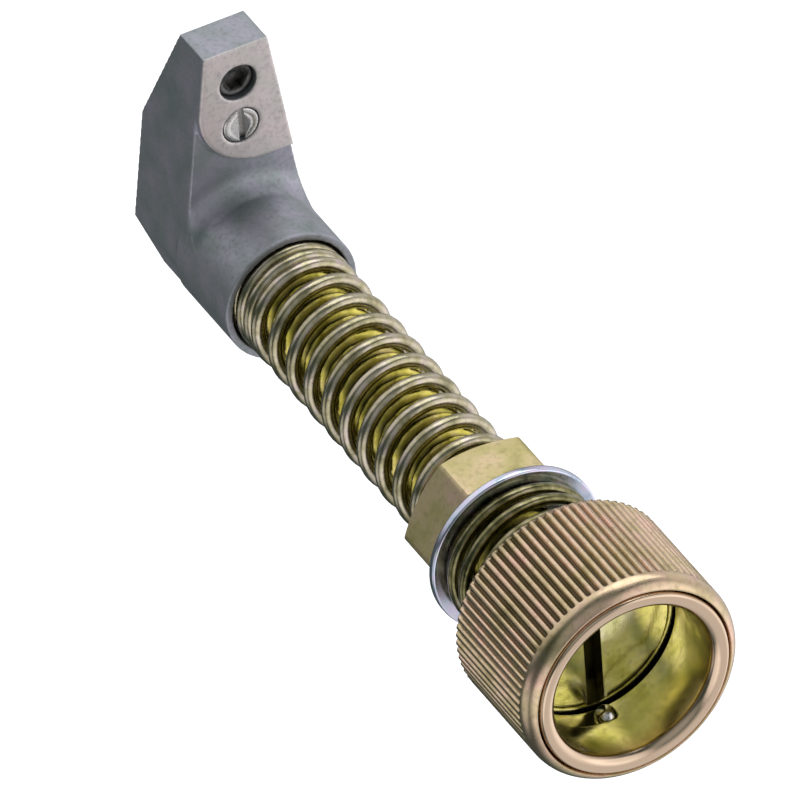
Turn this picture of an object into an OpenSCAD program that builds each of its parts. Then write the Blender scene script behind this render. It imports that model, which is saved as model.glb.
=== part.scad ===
// Sprung glass cutting head on a quick release handle socket.
// +X runs along the stem from the mouth of the socket to the cutting head.
// +Z is the way the head block stands up. The origin is the middle of the socket's mouth.

/* [Handle socket] */
// Diameter of the bore that takes the handle's spigot
bore_d = 22; // [21.5:0.1:22.2]
// Length of the straight wall of that bore
bore_len = 6.4; // [6:0.1:6.4]
// Depth from the mouth to the slotted floor
socket_depth = 10.4; // [10.3:0.1:10.6]
// Outside diameter of the socket tube
tube_d = 26; // [25.6:0.1:26.2]
// Length of the socket tube
tube_len = 16; // [15.8:0.1:16]
// Diameter of each locking ball
ball_d = 3; // [2.8:0.1:3]
// Width of the key slot in the floor
floor_slot_w = 2.4; // [2:0.1:3]

/* [Knurled sleeve] */
// Diameter over the knurl
sleeve_d = 30; // [29.5:0.1:31]
// Length of the sleeve
sleeve_len = 19.8; // [19.6:0.1:19.9]
// How far the sleeve is drawn back to free the handle
sleeve_travel = 2.5; // [2:0.1:2.5]
// Radius of the rounded front edge
sleeve_round = 2.4; // [1.6:0.1:2.4]

/* [Stem] */
// Diameter of the threaded stretch
thread_d = 11.8; // [11.6:0.1:11.9]
// Diameter of the plain guide stretch
guide_d = 8; // [7.6:0.1:8.2]
// Where the threaded stretch ends
thread_end = 87.8; // [86:0.1:87.8]

/* [Adjuster] */
// Width of the nut across its flats
nut_af = 19; // [18:0.1:19]
// Height of the nut
nut_h = 8.8; // [8.6:0.1:8.9]
// Where the nut's lower face sits
nut_x = 31; // [31:0.1:31.2]
// Diameter of the washer under the nut
washer_d = 23.6; // [23.4:0.1:24]
// Thickness of the washer
washer_t = 1.3; // [1.2:0.1:1.6]

/* [Springs] */
// Outside diameter of the pressure spring
long_od = 16.1; // [15.9:0.1:16.2]
// Wire of the pressure spring
long_wire = 1.9; // [1.6:0.1:1.9]
// Outside diameter of the sleeve's return spring
short_od = 21; // [20.5:0.1:21.5]
// Wire of the sleeve's return spring
short_wire = 1.6; // [1.2:0.1:1.7]

/* [Cutting head] */
// Where the rim of the neck starts
neck_x = 88.7; // [88.5:0.1:89]
// Diameter of the neck
neck_d = 18.6; // [18.4:0.1:19]
// Where the back face of the block lies
back_x = 113.9; // [113.8:0.1:114.5]
// Height of the block's top over the stem's axis
top_z = 32.4; // [32.2:0.1:33]
// Width of the block at the stem's axis
block_w = 18; // [17.8:0.1:18.2]
// Width of the block at its top
block_top_w = 9.1; // [9:0.1:10]
// Diameter of the two screw holes in the front pad
screw_hole_d = 5.2; // [5:0.1:5.2]
// Height of the upper screw over the stem's axis
upper_screw_z = 27; // [26.8:0.1:27.2]
// Height of the lower screw over the stem's axis
lower_screw_z = 20.2; // [20:0.1:20.4]
// How far the head can be pressed back along the stem
head_travel = 4; // [3:0.1:4]

/* [Cutting wheel] */
// Diameter of the wheel
wheel_d = 5; // [4.8:0.1:5]
// Thickness of the wheel at its hub
wheel_t = 1.1; // [0.9:0.1:1.1]
// Diameter of the wheel's axle
axle_d = 1.3; // [1.2:0.1:1.4]

/* [Hidden] */
$fn = 64;
eps = 0.01;
seat_gap = 0.05;     // air left between faces that slide or turn on each other

// socket
bore_r = bore_d / 2;
tube_r = tube_d / 2;
gallery_r = 11.4;
plug_r = 10.95;
plug_t = 3.4;
plug_x = socket_depth;
floor_slot_depth = 2.2;
undercut_r = 12;
undercut_w = 0.7;
hub_r = 7.5;
hub_end = 21;
stem_start = plug_x + 2.6;
ball_r = ball_d / 2;
ball_x = 8;
ball_hole_r = ball_r + 0.05;
ball_centre_r = tube_r - ball_r;
ball_angles = [-90, 30, 150];
ring_x = 2.6;
ring_t = 1;
ring_groove_r = tube_r - 0.5;
ring_r = tube_r + 0.3;
bead_r = (ring_r - bore_r) / 2;

// sleeve
sleeve_r = sleeve_d / 2;
sleeve_x = -1.1;
sleeve_end = sleeve_x + sleeve_len;
sleeve_bore_r = tube_r + 0.07;
lip_bore_r = ring_r + 0.07;
shoulder_x = ring_x + ring_t + seat_gap;
cone_start = ball_x - sleeve_travel - 1.4;
cone_angle = 10;
cone_r = sleeve_bore_r + (ball_x - cone_start) * tan(cone_angle);
flange_x = tube_len + 0.3;
flange_bore_r = 8.1;
sleeve_chamfer = 0.8;
thrust_r = 11.2;
thrust_t = 1;
thrust_x = sleeve_end + seat_gap;

// stem, its key and its end fixing
thread_r = thread_d / 2;
guide_r = guide_d / 2;
stem_end = 108.6;
keyway_w = 2.2;
keyway_floor = 2.6;
key_x = 106.2;
key_r = 2;
dog_r = 1;
dog_reach = 2.9;
end_screw_r = 2;
end_screw_depth = 10;
end_washer_r = 5.5;
end_washer_t = 1.2;
end_head_r = 3.5;
end_head_t = 2.9;

// springs: the seats they press on
long_start = nut_x + nut_h;
seat_t = 0.8;
rim_depth = 4.5;
seat_x = neck_x + rim_depth - seat_t;
closed_pitch_gap = 0.05;
wire_sides = 8;
coil_steps = 16;

// head block
neck_r = neck_d / 2;
rim_bore_r = long_od / 2 + 0.25;
pad_x = 99.4;
pad_t = 1;
face_x = pad_x + pad_t;
bottom_z = -6.8;
bottom_w = 10.8;
pad_bottom_z = 14.2;
pad_corner_r = 8.8;
pad_corner_y = -3;
top_back_x = 105.9;
slant_low_z = 15.7;
neck_fillet = 3;
bush_r = 5.6;
bush_x = neck_x + rim_depth;
bush_end = 104;
passage_r = guide_r + 0.4;
pocket_x = stem_end - 0.1;
pocket_r = 5.9;

// cutting wheel and its carrier, in the frame of the slanted face
slant_angle = atan2(back_x - top_back_x, top_z - slant_low_z);
slant_mid = [(top_back_x + back_x) / 2, (top_z + slant_low_z) / 2];
wheel_up = 0.6;
wheel_in = 0.4;
wheel_pos = [
    slant_mid[0] - wheel_up * sin(slant_angle) - wheel_in * cos(slant_angle),
    0,
    slant_mid[1] + wheel_up * cos(slant_angle) - wheel_in * sin(slant_angle)
];
carrier_w = 5;
carrier_half = 7.5;
carrier_depth = 4.1;
carrier_proud = 1.4;
carrier_land = 4;
wheel_slot_w = 1.5;
wheel_slot_r = wheel_d / 2 + 0.3;
screw_r = 2.5;
upper_shank_r = 1.5;
upper_head = [100.3, 101.8];
upper_end = 106;
lower_shank_r = 1.25;
lower_head = [99.5, 101.9];
lower_end = 107.9;

// Anything turned about the stem's axis, drawn as [radius, x]
module turned() {
    rotate([0, 90, 0]) rotate_extrude() children();
}

module rod(x0, x1, r) {
    translate([x0, 0, 0]) rotate([0, 90, 0]) cylinder(r = r, h = x1 - x0);
}

module tube(x0, x1, r_out, r_in) {
    difference() {
        rod(x0, x1, r_out);
        rod(x0 - 1, x1 + 1, r_in);
    }
}

// A rod parallel to the stem at a height z over its axis
module raised_rod(x0, x1, r, z) {
    translate([0, 0, z]) rod(x0, x1, r);
}

module hex_socket(x0, x1, across_flats) {
    translate([x0, 0, 0]) rotate([0, 90, 0]) cylinder(r = across_flats / sqrt(3), h = x1 - x0, $fn = 6);
}

// Round wire coiled about the stem's axis; turns is a list of [turn count, pitch]
function coil_x(turns, t, i = 0) =
    i >= len(turns) ? 0
    : turns[i][1] * max(0, min(t, turns[i][0])) + coil_x(turns, t - turns[i][0], i + 1);

function coil_total(turns, i = 0) = i >= len(turns) ? 0 : turns[i][0] + coil_total(turns, i + 1);

function wire_ring(mean_r, wire_r, x, turn) = [
    for (k = [0 : wire_sides - 1])
        let (a = 360 * k / wire_sides, r = mean_r + wire_r * cos(a))
        [x + wire_r * sin(a), r * cos(360 * turn), r * sin(360 * turn)]
];

module coil(x0, od, wire, turns) {
    total = coil_total(turns);
    rings = round(total * coil_steps);
    points = [
        for (i = [0 : rings])
            let (t = total * i / rings)
            each wire_ring((od - wire) / 2, wire / 2, x0 + wire / 2 + coil_x(turns, t), t)
    ];
    walls = [
        for (i = [0 : rings - 1], k = [0 : wire_sides - 1])
            let (a = i * wire_sides, n = (k + 1) % wire_sides)
            [a + k, a + n, a + n + wire_sides, a + k + wire_sides]
    ];
    first_end = [for (k = [wire_sides - 1 : -1 : 0]) k];
    last_end = [for (k = [0 : wire_sides - 1]) rings * wire_sides + k];
    polyhedron(points, concat(walls, [first_end, last_end]), convexity = 10);
}

// ---- socket ----

module ball_holes() {
    for (a = ball_angles)
        rotate([a, 0, 0]) translate([ball_x, 0, 0]) rotate([-90, 0, 0])
            cylinder(r = ball_hole_r, h = tube_r + 2);
}

module socket_body() {
    color("gold") difference() {
        union() {
            rod(0, tube_len, tube_r);
            rod(tube_len - 1, hub_end, hub_r);
            turned() translate([bore_r + bead_r, 0]) circle(r = bead_r);
        }
        rod(-bead_r - 1, bore_len, bore_r);
        rod(bore_len - eps, plug_x - undercut_w + eps, gallery_r);
        rod(plug_x - undercut_w, plug_x, undercut_r);
        rod(plug_x - eps, plug_x + plug_t, plug_r);
        rod(plug_x, hub_end + 1, thread_r);
        tube(ring_x, ring_x + ring_t, tube_r + 1, ring_groove_r);
        ball_holes();
    }
}

module slotted_plug() {
    color("darkkhaki") difference() {
        rod(plug_x, plug_x + plug_t, plug_r);
        translate([plug_x - 1, -floor_slot_w / 2, -plug_r - 1])
            cube([floor_slot_depth + 1, floor_slot_w, 2 * plug_r + 2]);
        rod(stem_start, plug_x + plug_t + 1, thread_r);
    }
}

module retaining_ring() {
    color("dimgray") tube(ring_x, ring_x + ring_t, ring_r, ring_groove_r);
}

module locking_ball(angle) {
    color("lightgray") rotate([angle, 0, 0]) translate([ball_x, ball_centre_r, 0]) sphere(r = ball_r);
}

// ---- sleeve ----

module sleeve_outline() {
    difference() {
        polygon([
            [lip_bore_r, sleeve_x],
            [sleeve_r, sleeve_x],
            [sleeve_r, sleeve_end - sleeve_chamfer],
            [sleeve_r - sleeve_chamfer, sleeve_end],
            [flange_bore_r, sleeve_end],
            [flange_bore_r, flange_x],
            [sleeve_bore_r, flange_x],
            [sleeve_bore_r, ball_x],
            [cone_r, cone_start],
            [sleeve_bore_r, cone_start],
            [sleeve_bore_r, shoulder_x],
            [lip_bore_r, shoulder_x]
        ]);
        translate([sleeve_r - sleeve_round, sleeve_x + sleeve_round]) difference() {
            translate([0, -sleeve_round - 1]) square(sleeve_round + 1);
            circle(r = sleeve_round);
        }
    }
}

module knurled_sleeve() {
    color("tan") turned() sleeve_outline();
}

module thrust_ring() {
    color("gray") tube(thrust_x, thrust_x + thrust_t, thrust_r, flange_bore_r + 0.1);
}

module short_spring() {
    free = nut_x - washer_t - thrust_x - thrust_t - short_wire - 2 * seat_gap;
    closed = short_wire + closed_pitch_gap;
    color("olive") coil(thrust_x + thrust_t + seat_gap, short_od, short_wire,
        [[0.75, closed], [2, (free - 1.5 * closed) / 2], [0.75, closed]]);
}

// ---- stem and its adjuster ----

module stem() {
    color("goldenrod") difference() {
        union() {
            rod(stem_start, thread_end, thread_r);
            rod(thread_end - 1, stem_end, guide_r);
        }
        rod(stem_end - end_screw_depth, stem_end + 1, end_screw_r);
        translate([key_x - head_travel - dog_r - 0.3, -keyway_w / 2, -guide_r - 1])
            cube([head_travel + 2 * dog_r + 0.6, keyway_w, guide_r + 1 - keyway_floor]);
    }
}

module adjuster_washer() {
    color("lightsteelblue")
        tube(nut_x - washer_t, nut_x - seat_gap, washer_d / 2, thread_r + 0.4);
}

module adjuster_nut() {
    corner_r = nut_af / sqrt(3);
    bevel = 1;
    clear = 0.5;
    bevel_h = (bevel + clear) * tan(30);
    color("khaki") difference() {
        intersection() {
            translate([nut_x, 0, 0]) rotate([92, 0, 0]) rotate([0, 90, 0])
                cylinder(r = corner_r, h = nut_h, $fn = 6);
            turned() polygon([
                [0, nut_x],
                [corner_r - bevel, nut_x],
                [corner_r + clear, nut_x + bevel_h],
                [corner_r + clear, nut_x + nut_h - bevel_h],
                [corner_r - bevel, nut_x + nut_h],
                [0, nut_x + nut_h]
            ]);
        }
        rod(nut_x - 1, nut_x + nut_h + 1, thread_r + 0.07);
    }
}

module long_spring() {
    travel = seat_x - long_start - long_wire - 2 * seat_gap;
    closed = long_wire + closed_pitch_gap;
    open_turns = 9;
    nut_turns = 1;
    seat_turns = 3.8;
    pitch = (travel - (nut_turns + seat_turns) * closed) / open_turns;
    color("darkkhaki") coil(long_start + seat_gap, long_od, long_wire,
        [[nut_turns, closed], [open_turns, pitch], [seat_turns, closed]]);
}

module end_washer() {
    color("silver") tube(stem_end, stem_end + end_washer_t, end_washer_r, end_screw_r);
}

module stem_end_screw() {
    head_x = stem_end + end_washer_t;
    color("dimgray") difference() {
        union() {
            rod(stem_end - end_screw_depth, head_x + eps, end_screw_r);
            rod(head_x, head_x + end_head_t, end_head_r);
        }
        hex_socket(head_x + 1, head_x + end_head_t + 1, 3);
    }
}

// ---- head ----

// Outline of the block seen along the stem, drawn as [y, z]
module front_outline() {
    polygon([
        [-bottom_w / 2, bottom_z],
        [bottom_w / 2, bottom_z],
        [block_w / 2, 0],
        [block_top_w / 2, top_z],
        [-block_top_w / 2, top_z],
        [-block_w / 2, 0]
    ]);
}

module along_stem(x0, x1) {
    translate([x0, 0, 0]) rotate([90, 0, 90]) linear_extrude(x1 - x0) children();
}

// Outline of the block seen from the side, drawn as [x, z]
module side_outline() {
    polygon([
        [face_x, bottom_z],
        [back_x, bottom_z],
        [back_x, slant_low_z],
        [top_back_x, top_z],
        [face_x, top_z]
    ]);
}

module front_pad() {
    along_stem(pad_x, face_x + 1) intersection() {
        front_outline();
        union() {
            translate([-block_w, pad_bottom_z + pad_corner_r]) square([2 * block_w, top_z]);
            translate([-block_w, pad_bottom_z]) square([block_w + pad_corner_y, top_z]);
            translate([pad_corner_y, pad_bottom_z + pad_corner_r]) circle(r = pad_corner_r);
        }
    }
}

module neck_root_fillet() {
    intersection() {
        turned() difference() {
            translate([neck_r - 1, face_x - neck_fillet]) square([neck_fillet + 1, neck_fillet + 1]);
            translate([neck_r + neck_fillet, face_x - neck_fillet]) circle(r = neck_fillet);
        }
        along_stem(face_x - neck_fillet - 1, face_x + 1) front_outline();
    }
}

module on_slant() {
    translate(wheel_pos) rotate([0, -slant_angle, 0]) children();
}

module carrier_blank(top) {
    on_slant() translate([-carrier_depth, -carrier_w / 2, -carrier_half])
        cube([carrier_depth + top, carrier_w, 2 * carrier_half]);
}

module head_block() {
    color("lightslategray") difference() {
        union() {
            intersection() {
                translate([0, block_w, 0]) rotate([90, 0, 0]) linear_extrude(2 * block_w) side_outline();
                along_stem(face_x - 1, back_x + 1) front_outline();
            }
            front_pad();
            neck_root_fillet();
            rod(neck_x, face_x + 2, neck_r);
        }
        rod(neck_x - 1, bush_x, rim_bore_r);
        rod(bush_x - 1, bush_end, bush_r);
        rod(bush_end - 1, pocket_x + 1, passage_r);
        rod(pocket_x, back_x + 1, pocket_r);
        translate([key_x, 0, bottom_z - 1]) cylinder(r = key_r, h = 1 - bottom_z);
        carrier_blank(5);
        raised_rod(pad_x - 1, upper_head[1], screw_hole_d / 2, upper_screw_z);
        raised_rod(pad_x, upper_end, upper_shank_r, upper_screw_z);
        raised_rod(pad_x - 1, lower_head[1], screw_hole_d / 2, lower_screw_z);
        raised_rod(pad_x, lower_end, lower_shank_r, lower_screw_z);
    }
}

module spring_seat() {
    color("silver") tube(seat_x, seat_x + seat_t, rim_bore_r - 0.1, guide_r + 0.4);
}

module guide_bush() {
    color("peru") tube(bush_x, bush_end, bush_r, guide_r + 0.05);
}

module key_screw() {
    top_z0 = -passage_r - 0.1;
    color("dimgray") difference() {
        union() {
            translate([key_x, 0, bottom_z + 0.2]) cylinder(r = key_r, h = top_z0 - bottom_z - 0.2);
            translate([key_x, 0, top_z0 - eps]) cylinder(r = dog_r, h = -dog_reach - top_z0 + eps);
        }
        translate([key_x, 0, bottom_z - 1]) cylinder(r = 1.15, h = 2, $fn = 6);
    }
}

module carrier_screw() {
    color("dimgray") translate([0, 0, upper_screw_z]) difference() {
        union() {
            rod(upper_head[0], upper_head[1], screw_r);
            rod(upper_head[1] - eps, upper_end, upper_shank_r);
        }
        hex_socket(upper_head[0] - 1, upper_head[0] + 1.1, 2.5);
    }
}

module slotted_screw() {
    slot_w = 0.8;
    color("silver") translate([0, 0, lower_screw_z]) difference() {
        union() {
            rod(lower_head[0], lower_head[1], screw_r);
            rod(lower_head[1] - eps, lower_end, lower_shank_r);
        }
        translate([lower_head[0] - 1, -slot_w / 2, -screw_r - 1])
            cube([1.9, slot_w, 2 * screw_r + 2]);
    }
}

module wheel_carrier() {
    color("slategray") difference() {
        carrier_blank(carrier_proud);
        on_slant() rotate([90, 0, 0]) cylinder(r = wheel_slot_r, h = wheel_slot_w, center = true);
        on_slant() translate([0, -wheel_slot_w / 2, -wheel_slot_r])
            cube([carrier_proud + 1, wheel_slot_w, 2 * wheel_slot_r]);
        for (side = [0, 180])
            on_slant() rotate([side, 0, 0]) translate([wheel_in, 0, carrier_half])
                rotate([0, atan2(carrier_half - carrier_land, carrier_proud - wheel_in) - 90, 0])
                translate([0, -carrier_w, -2 * carrier_half])
                cube([carrier_half, 2 * carrier_w, 3 * carrier_half]);
        on_slant() rotate([90, 0, 0]) cylinder(r = axle_d / 2, h = carrier_w + 2, center = true);
        raised_rod(pad_x, upper_end, upper_shank_r, upper_screw_z);
        raised_rod(pad_x, lower_end, lower_shank_r, lower_screw_z);
    }
}

module wheel_axle() {
    color("silver") on_slant() rotate([90, 0, 0])
        cylinder(r = axle_d / 2, h = carrier_w, center = true);
}

module cutting_wheel() {
    hub_r0 = axle_d / 2 + 0.05;
    shoulder_r = wheel_d / 2 - 0.9;
    color("darkgray") on_slant() rotate([90, 0, 0]) rotate_extrude() polygon([
        [hub_r0, -wheel_t / 2],
        [shoulder_r, -wheel_t / 2],
        [wheel_d / 2, 0],
        [shoulder_r, wheel_t / 2],
        [hub_r0, wheel_t / 2]
    ]);
}

socket_body();
slotted_plug();
retaining_ring();
knurled_sleeve();
thrust_ring();
locking_ball(ball_angles[0]);  // locking_ball_1
locking_ball(ball_angles[1]);  // locking_ball_2
locking_ball(ball_angles[2]);  // locking_ball_3
short_spring();
stem();
adjuster_washer();
adjuster_nut();
long_spring();
spring_seat();
guide_bush();
head_block();
key_screw();
end_washer();
stem_end_screw();
carrier_screw();
slotted_screw();
wheel_carrier();
wheel_axle();
cutting_wheel();
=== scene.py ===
import math

import bmesh
import bpy
from mathutils import Matrix, Vector


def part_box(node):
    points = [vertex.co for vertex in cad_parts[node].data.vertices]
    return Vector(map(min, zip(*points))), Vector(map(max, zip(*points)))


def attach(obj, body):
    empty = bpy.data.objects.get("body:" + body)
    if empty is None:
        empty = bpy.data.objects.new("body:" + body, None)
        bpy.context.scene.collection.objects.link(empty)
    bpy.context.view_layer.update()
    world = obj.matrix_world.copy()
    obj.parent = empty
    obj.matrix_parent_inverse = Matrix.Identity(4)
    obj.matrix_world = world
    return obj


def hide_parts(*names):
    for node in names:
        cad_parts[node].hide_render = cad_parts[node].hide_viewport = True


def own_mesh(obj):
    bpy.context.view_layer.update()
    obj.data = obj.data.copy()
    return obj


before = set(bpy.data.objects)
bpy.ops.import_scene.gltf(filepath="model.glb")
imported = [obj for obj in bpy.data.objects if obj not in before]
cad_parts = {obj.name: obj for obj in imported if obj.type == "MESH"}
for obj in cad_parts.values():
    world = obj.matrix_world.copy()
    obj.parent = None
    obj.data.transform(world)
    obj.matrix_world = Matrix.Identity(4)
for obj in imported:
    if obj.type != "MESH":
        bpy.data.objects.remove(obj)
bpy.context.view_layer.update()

# ---- Camera ----
# A long lens, far off and a little above the socket's mouth. It looks down the stem, which runs
# away from it up to the cutting head.
MM = 0.001


def place_camera():
    right = Vector((-0.475, -0.877, -0.056)).normalized()
    forward = Vector((0.698, -0.337, -0.631))
    forward = (forward - right * forward.dot(right)).normalized()
    up = right.cross(forward)
    distance = 3.6
    seen_width = 99.4 * MM
    middle = (right * -28.6 + up * 34.5 + forward * 30) * MM
    data = bpy.data.cameras.new("camera")
    data.sensor_width = 36
    data.lens = data.sensor_width * distance / seen_width
    data.clip_start = 0.1
    data.clip_end = 20
    camera = bpy.data.objects.new("camera", data)
    bpy.context.scene.collection.objects.link(camera)
    turn = Matrix((right, up, -forward)).transposed()
    camera.matrix_world = Matrix.Translation(middle - forward * distance) @ turn.to_4x4()
    bpy.context.scene.camera = camera


place_camera()


# ---- Socket body ----
# A turned steel tube that takes the handle's spigot. Its mouth is rolled over into a round nose
# and its back has a threaded hub. Zinc plated and yellow passivated, so the bore mirrors itself.


def span(node):
    """The lowest and highest corners of a node, in millimetres."""
    low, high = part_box(node)
    return Vector(low) / MM, Vector(high) / MM


def soft_corners(points, radius, steps=3):
    """A closed outline of (x, r) points with every corner rounded by a short curve."""
    out = []
    for i, (px, pr) in enumerate(points):
        here = Vector((px, pr))
        before = Vector(points[i - 1]) - here
        after = Vector(points[(i + 1) % len(points)]) - here
        reach = min(radius, 0.45 * before.length, 0.45 * after.length)
        if pr <= 0:
            out.append((px, pr))
            continue
        a = here + before.normalized() * reach
        b = here + after.normalized() * reach
        for k in range(steps + 1):
            t = k / steps
            p = a * (1 - t) ** 2 + here * 2 * t * (1 - t) + b * t * t
            out.append((p.x, p.y))
    return out


def build_mesh(name, verts, faces):
    """A mesh with clean outward faces, from points in millimetres."""
    mesh = bpy.data.meshes.new(name)
    mesh.from_pydata([Vector(v) * MM for v in verts], [], faces)
    work = bmesh.new()
    work.from_mesh(mesh)
    bmesh.ops.remove_doubles(work, verts=work.verts, dist=1e-7)
    bmesh.ops.recalc_face_normals(work, faces=work.faces)
    work.to_mesh(mesh)
    work.free()
    piece = bpy.data.objects.new(name, mesh)
    bpy.context.scene.collection.objects.link(piece)
    return piece


def grid_faces(rows, columns, closed_rows=False):
    """Quads between neighbouring points of closed rings that follow each other in a list."""
    last_row = rows if closed_rows else rows - 1
    return [
        [
            i * columns + k,
            i * columns + (k + 1) % columns,
            (i + 1) % rows * columns + (k + 1) % columns,
            (i + 1) % rows * columns + k,
        ]
        for i in range(last_row)
        for k in range(columns)
    ]


def shade(piece, crease_deg):
    piece.data.shade_smooth()
    piece.data.set_sharp_from_angle(angle=math.radians(crease_deg))


def dress(piece, body, slot, material, *nodes):
    """Rides a finished piece on its body, in place of its CAD nodes."""
    piece.data.materials.clear()
    piece.data.materials.append(material)
    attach(piece, body)
    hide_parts(*nodes)


def turned(name, outline, steps=128, radius=None, crease_deg=35):
    """A piece turned about the stem's axis from a closed outline of (x, r) points.
    radius(x, r, share) may change a point's radius at each share of a turn."""
    verts = []
    for k in range(steps):
        a = math.tau * k / steps
        for x, r in outline:
            r = radius(x, r, k / steps) if radius else r
            verts.append((x, r * math.cos(a), r * math.sin(a)))
    n = len(outline)
    faces = []
    for k in range(steps):
        m = (k + 1) % steps
        for i in range(n):
            j = (i + 1) % n
            on_axis = (outline[i][1] <= 0, outline[j][1] <= 0)
            if on_axis == (True, True):
                continue
            corners = [k * n + i, k * n + j, m * n + j, m * n + i]
            if on_axis[0]:
                corners.pop(3)
            elif on_axis[1]:
                corners.pop(2)
            faces.append(corners)
    piece = build_mesh(name, verts, faces)
    shade(piece, crease_deg)
    even = piece.modifiers.new("even_faces", "WEIGHTED_NORMAL")
    even.keep_sharp = True
    return piece


def combine(piece, tool, operation="DIFFERENCE"):
    """Works a tool solid into a piece for good and throws the tool away."""
    step = piece.modifiers.new("step", "BOOLEAN")
    step.operation = operation
    step.solver = "EXACT"
    step.object = tool
    graph = bpy.context.evaluated_depsgraph_get()
    mesh = bpy.data.meshes.new_from_object(piece.evaluated_get(graph))
    piece.modifiers.remove(step)
    piece.data = mesh
    bpy.data.objects.remove(tool)


def prism(start, direction, side, outline):
    """A tool: an outline of (side, across) points drawn out along a direction."""
    start, direction, side = Vector(start), Vector(direction), Vector(side)
    across = direction.normalized().cross(side)
    ring = [start + side * a + across * b for a, b in outline]
    n = len(ring)
    verts = ring + [p + direction for p in ring]
    faces = [list(range(n)), list(range(2 * n - 1, n - 1, -1))] + grid_faces(2, n)
    return build_mesh("tool", verts, faces)


def round_outline(radius, steps=40):
    angles = [math.tau * k / steps for k in range(steps)]
    return [(radius * math.cos(a), radius * math.sin(a)) for a in angles]


def linear(hex_colour):
    """The linear colour of an sRGB hex value."""
    parts = [int(hex_colour[i : i + 2], 16) / 255 for i in (1, 3, 5)]
    return tuple(c / 12.92 if c <= 0.04045 else ((c + 0.055) / 1.055) ** 2.4 for c in parts) + (1,)


def add(tree, kind, inputs=None, stops=None, **settings):
    """A node with its settings, its inputs' values or links, and its colour stops, ends first."""
    node = tree.nodes.new(kind)
    for key, value in settings.items():
        setattr(node, key, value)
    for key, value in (inputs or {}).items():
        if isinstance(value, bpy.types.Node):
            tree.links.new(value.outputs[0], node.inputs[key])
        elif isinstance(value, bpy.types.NodeSocket):
            tree.links.new(value, node.inputs[key])
        else:
            node.inputs[key].default_value = value
    for i, (position, colour) in enumerate(stops or []):
        elements = node.color_ramp.elements
        element = elements[i] if i < 2 else elements.new(position)
        element.position = position
        element.color = linear(colour)
    return node


def fresh_material(name, metallic=1.0):
    """A material with its node tree, shader, and the coordinates of the frame in metres."""
    material = bpy.data.materials.new(name)
    material.use_nodes = True
    tree = material.node_tree
    shader = tree.nodes["Principled BSDF"]
    shader.inputs["Metallic"].default_value = metallic
    return material, tree, shader, add(tree, "ShaderNodeTexCoord").outputs["Object"]


def passivated_zinc(name, film, rough, drift_mm=3.0, ring_mm=0.35, ring_depth_mm=0.002):
    """Zinc plate under a yellow passivation film. The film's colour drifts from olive through gold
    to pink with its thickness, and tool rings of the turned steel show through, drawn coarser than
    they are so that they show."""
    material, tree, shader, place = fresh_material(name)
    drift = add(tree, "ShaderNodeTexNoise", {"Vector": place, "Scale": 1 / (drift_mm * MM), "Detail": 3.0})
    tint = add(tree, "ShaderNodeValToRGB", {"Fac": drift}, stops=film)
    grime = add(tree, "ShaderNodeTexNoise", {"Vector": place, "Scale": 1 / (0.8 * MM), "Detail": 4.0})
    dirt = add(
        tree, "ShaderNodeMapRange", {"Value": grime, "From Min": 0.5, "From Max": 0.75, "To Max": 0.3}
    )
    worn = add(
        tree,
        "ShaderNodeMix",
        {0: dirt, 6: tint.outputs["Color"], 7: linear("#5E5836")},
        data_type="RGBA",
    )
    tree.links.new(worn.outputs[2], shader.inputs["Base Color"])
    gloss = add(
        tree,
        "ShaderNodeMapRange",
        {"Value": grime, "From Min": 0.3, "From Max": 0.75, "To Min": 0.85 * rough, "To Max": 1.25 * rough},
    )
    tree.links.new(gloss.outputs[0], shader.inputs["Roughness"])
    ring_scale = math.tau / (20 * ring_mm * MM)
    along = add(
        tree,
        "ShaderNodeTexWave",
        {"Vector": place, "Scale": ring_scale, "Distortion": 1.0, "Detail": 2.0, "Detail Scale": 0.3},
    )
    across = add(
        tree,
        "ShaderNodeTexWave",
        {"Vector": place, "Scale": ring_scale, "Distortion": 1.0, "Detail": 2.0, "Detail Scale": 0.3},
        wave_type="RINGS",
    )
    rings = add(tree, "ShaderNodeMath", {0: along.outputs["Fac"], 1: across.outputs["Fac"]})
    bump = add(tree, "ShaderNodeBump", {"Height": rings, "Distance": ring_depth_mm * MM, "Strength": 1.0})
    pits = add(
        tree, "ShaderNodeBump", {"Height": grime, "Distance": 0.01 * MM, "Strength": 0.5, "Normal": bump}
    )
    tree.links.new(pits.outputs[0], shader.inputs["Normal"])
    return material


# In the bore the film is glossy and pale greenish yellow, and two reflections deepen it to gold.
yellow_zinc = passivated_zinc(
    "yellow_passivated_zinc",
    [(0.3, "#CFCB84"), (0.7, "#EEE6C2"), (0.42, "#E6E2A0"), (0.56, "#EFE8B2")],
    rough=0.18,
)


def mark(piece, name, share):
    """A point attribute from share(x, y, z), for the material to mix by."""
    values = piece.data.attributes.new(name, "FLOAT", "POINT")
    for vertex in piece.data.vertices:
        values.data[vertex.index].value = share(*(vertex.co / MM))


def mix_by(material, name, low, high, hex_colour):
    """Turns a material's colour to another one where a point attribute goes from low to high."""
    tree = material.node_tree
    shader = tree.nodes["Principled BSDF"]
    film = shader.inputs["Base Color"].links[0].from_socket
    value = add(tree, "ShaderNodeAttribute", attribute_name=name).outputs["Fac"]
    share = add(tree, "ShaderNodeMapRange", {"Value": value, "From Min": low, "From Max": high})
    both = add(tree, "ShaderNodeMix", {0: share, 6: film, 7: linear(hex_colour)}, data_type="RGBA")
    tree.links.new(both.outputs[2], shader.inputs["Base Color"])


# Towards the rolled rim the colour turns pale pinkish cream, partly a thinner film and partly a painted
# highlight.
# The groove round the socket's floor and the slot are painted dark olive as painted shade.
# Partly a thinner film and partly a painted highlight: the rim turns pale pinkish cream.
mix_by(yellow_zinc, "rim", 0.0, 1.0, "#CDB69C")
# Painted shade: the groove round the floor and the slot turn dark olive.
mix_by(yellow_zinc, "painted_recess_shade", 0.0, 1.0, "#33301C")


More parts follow.
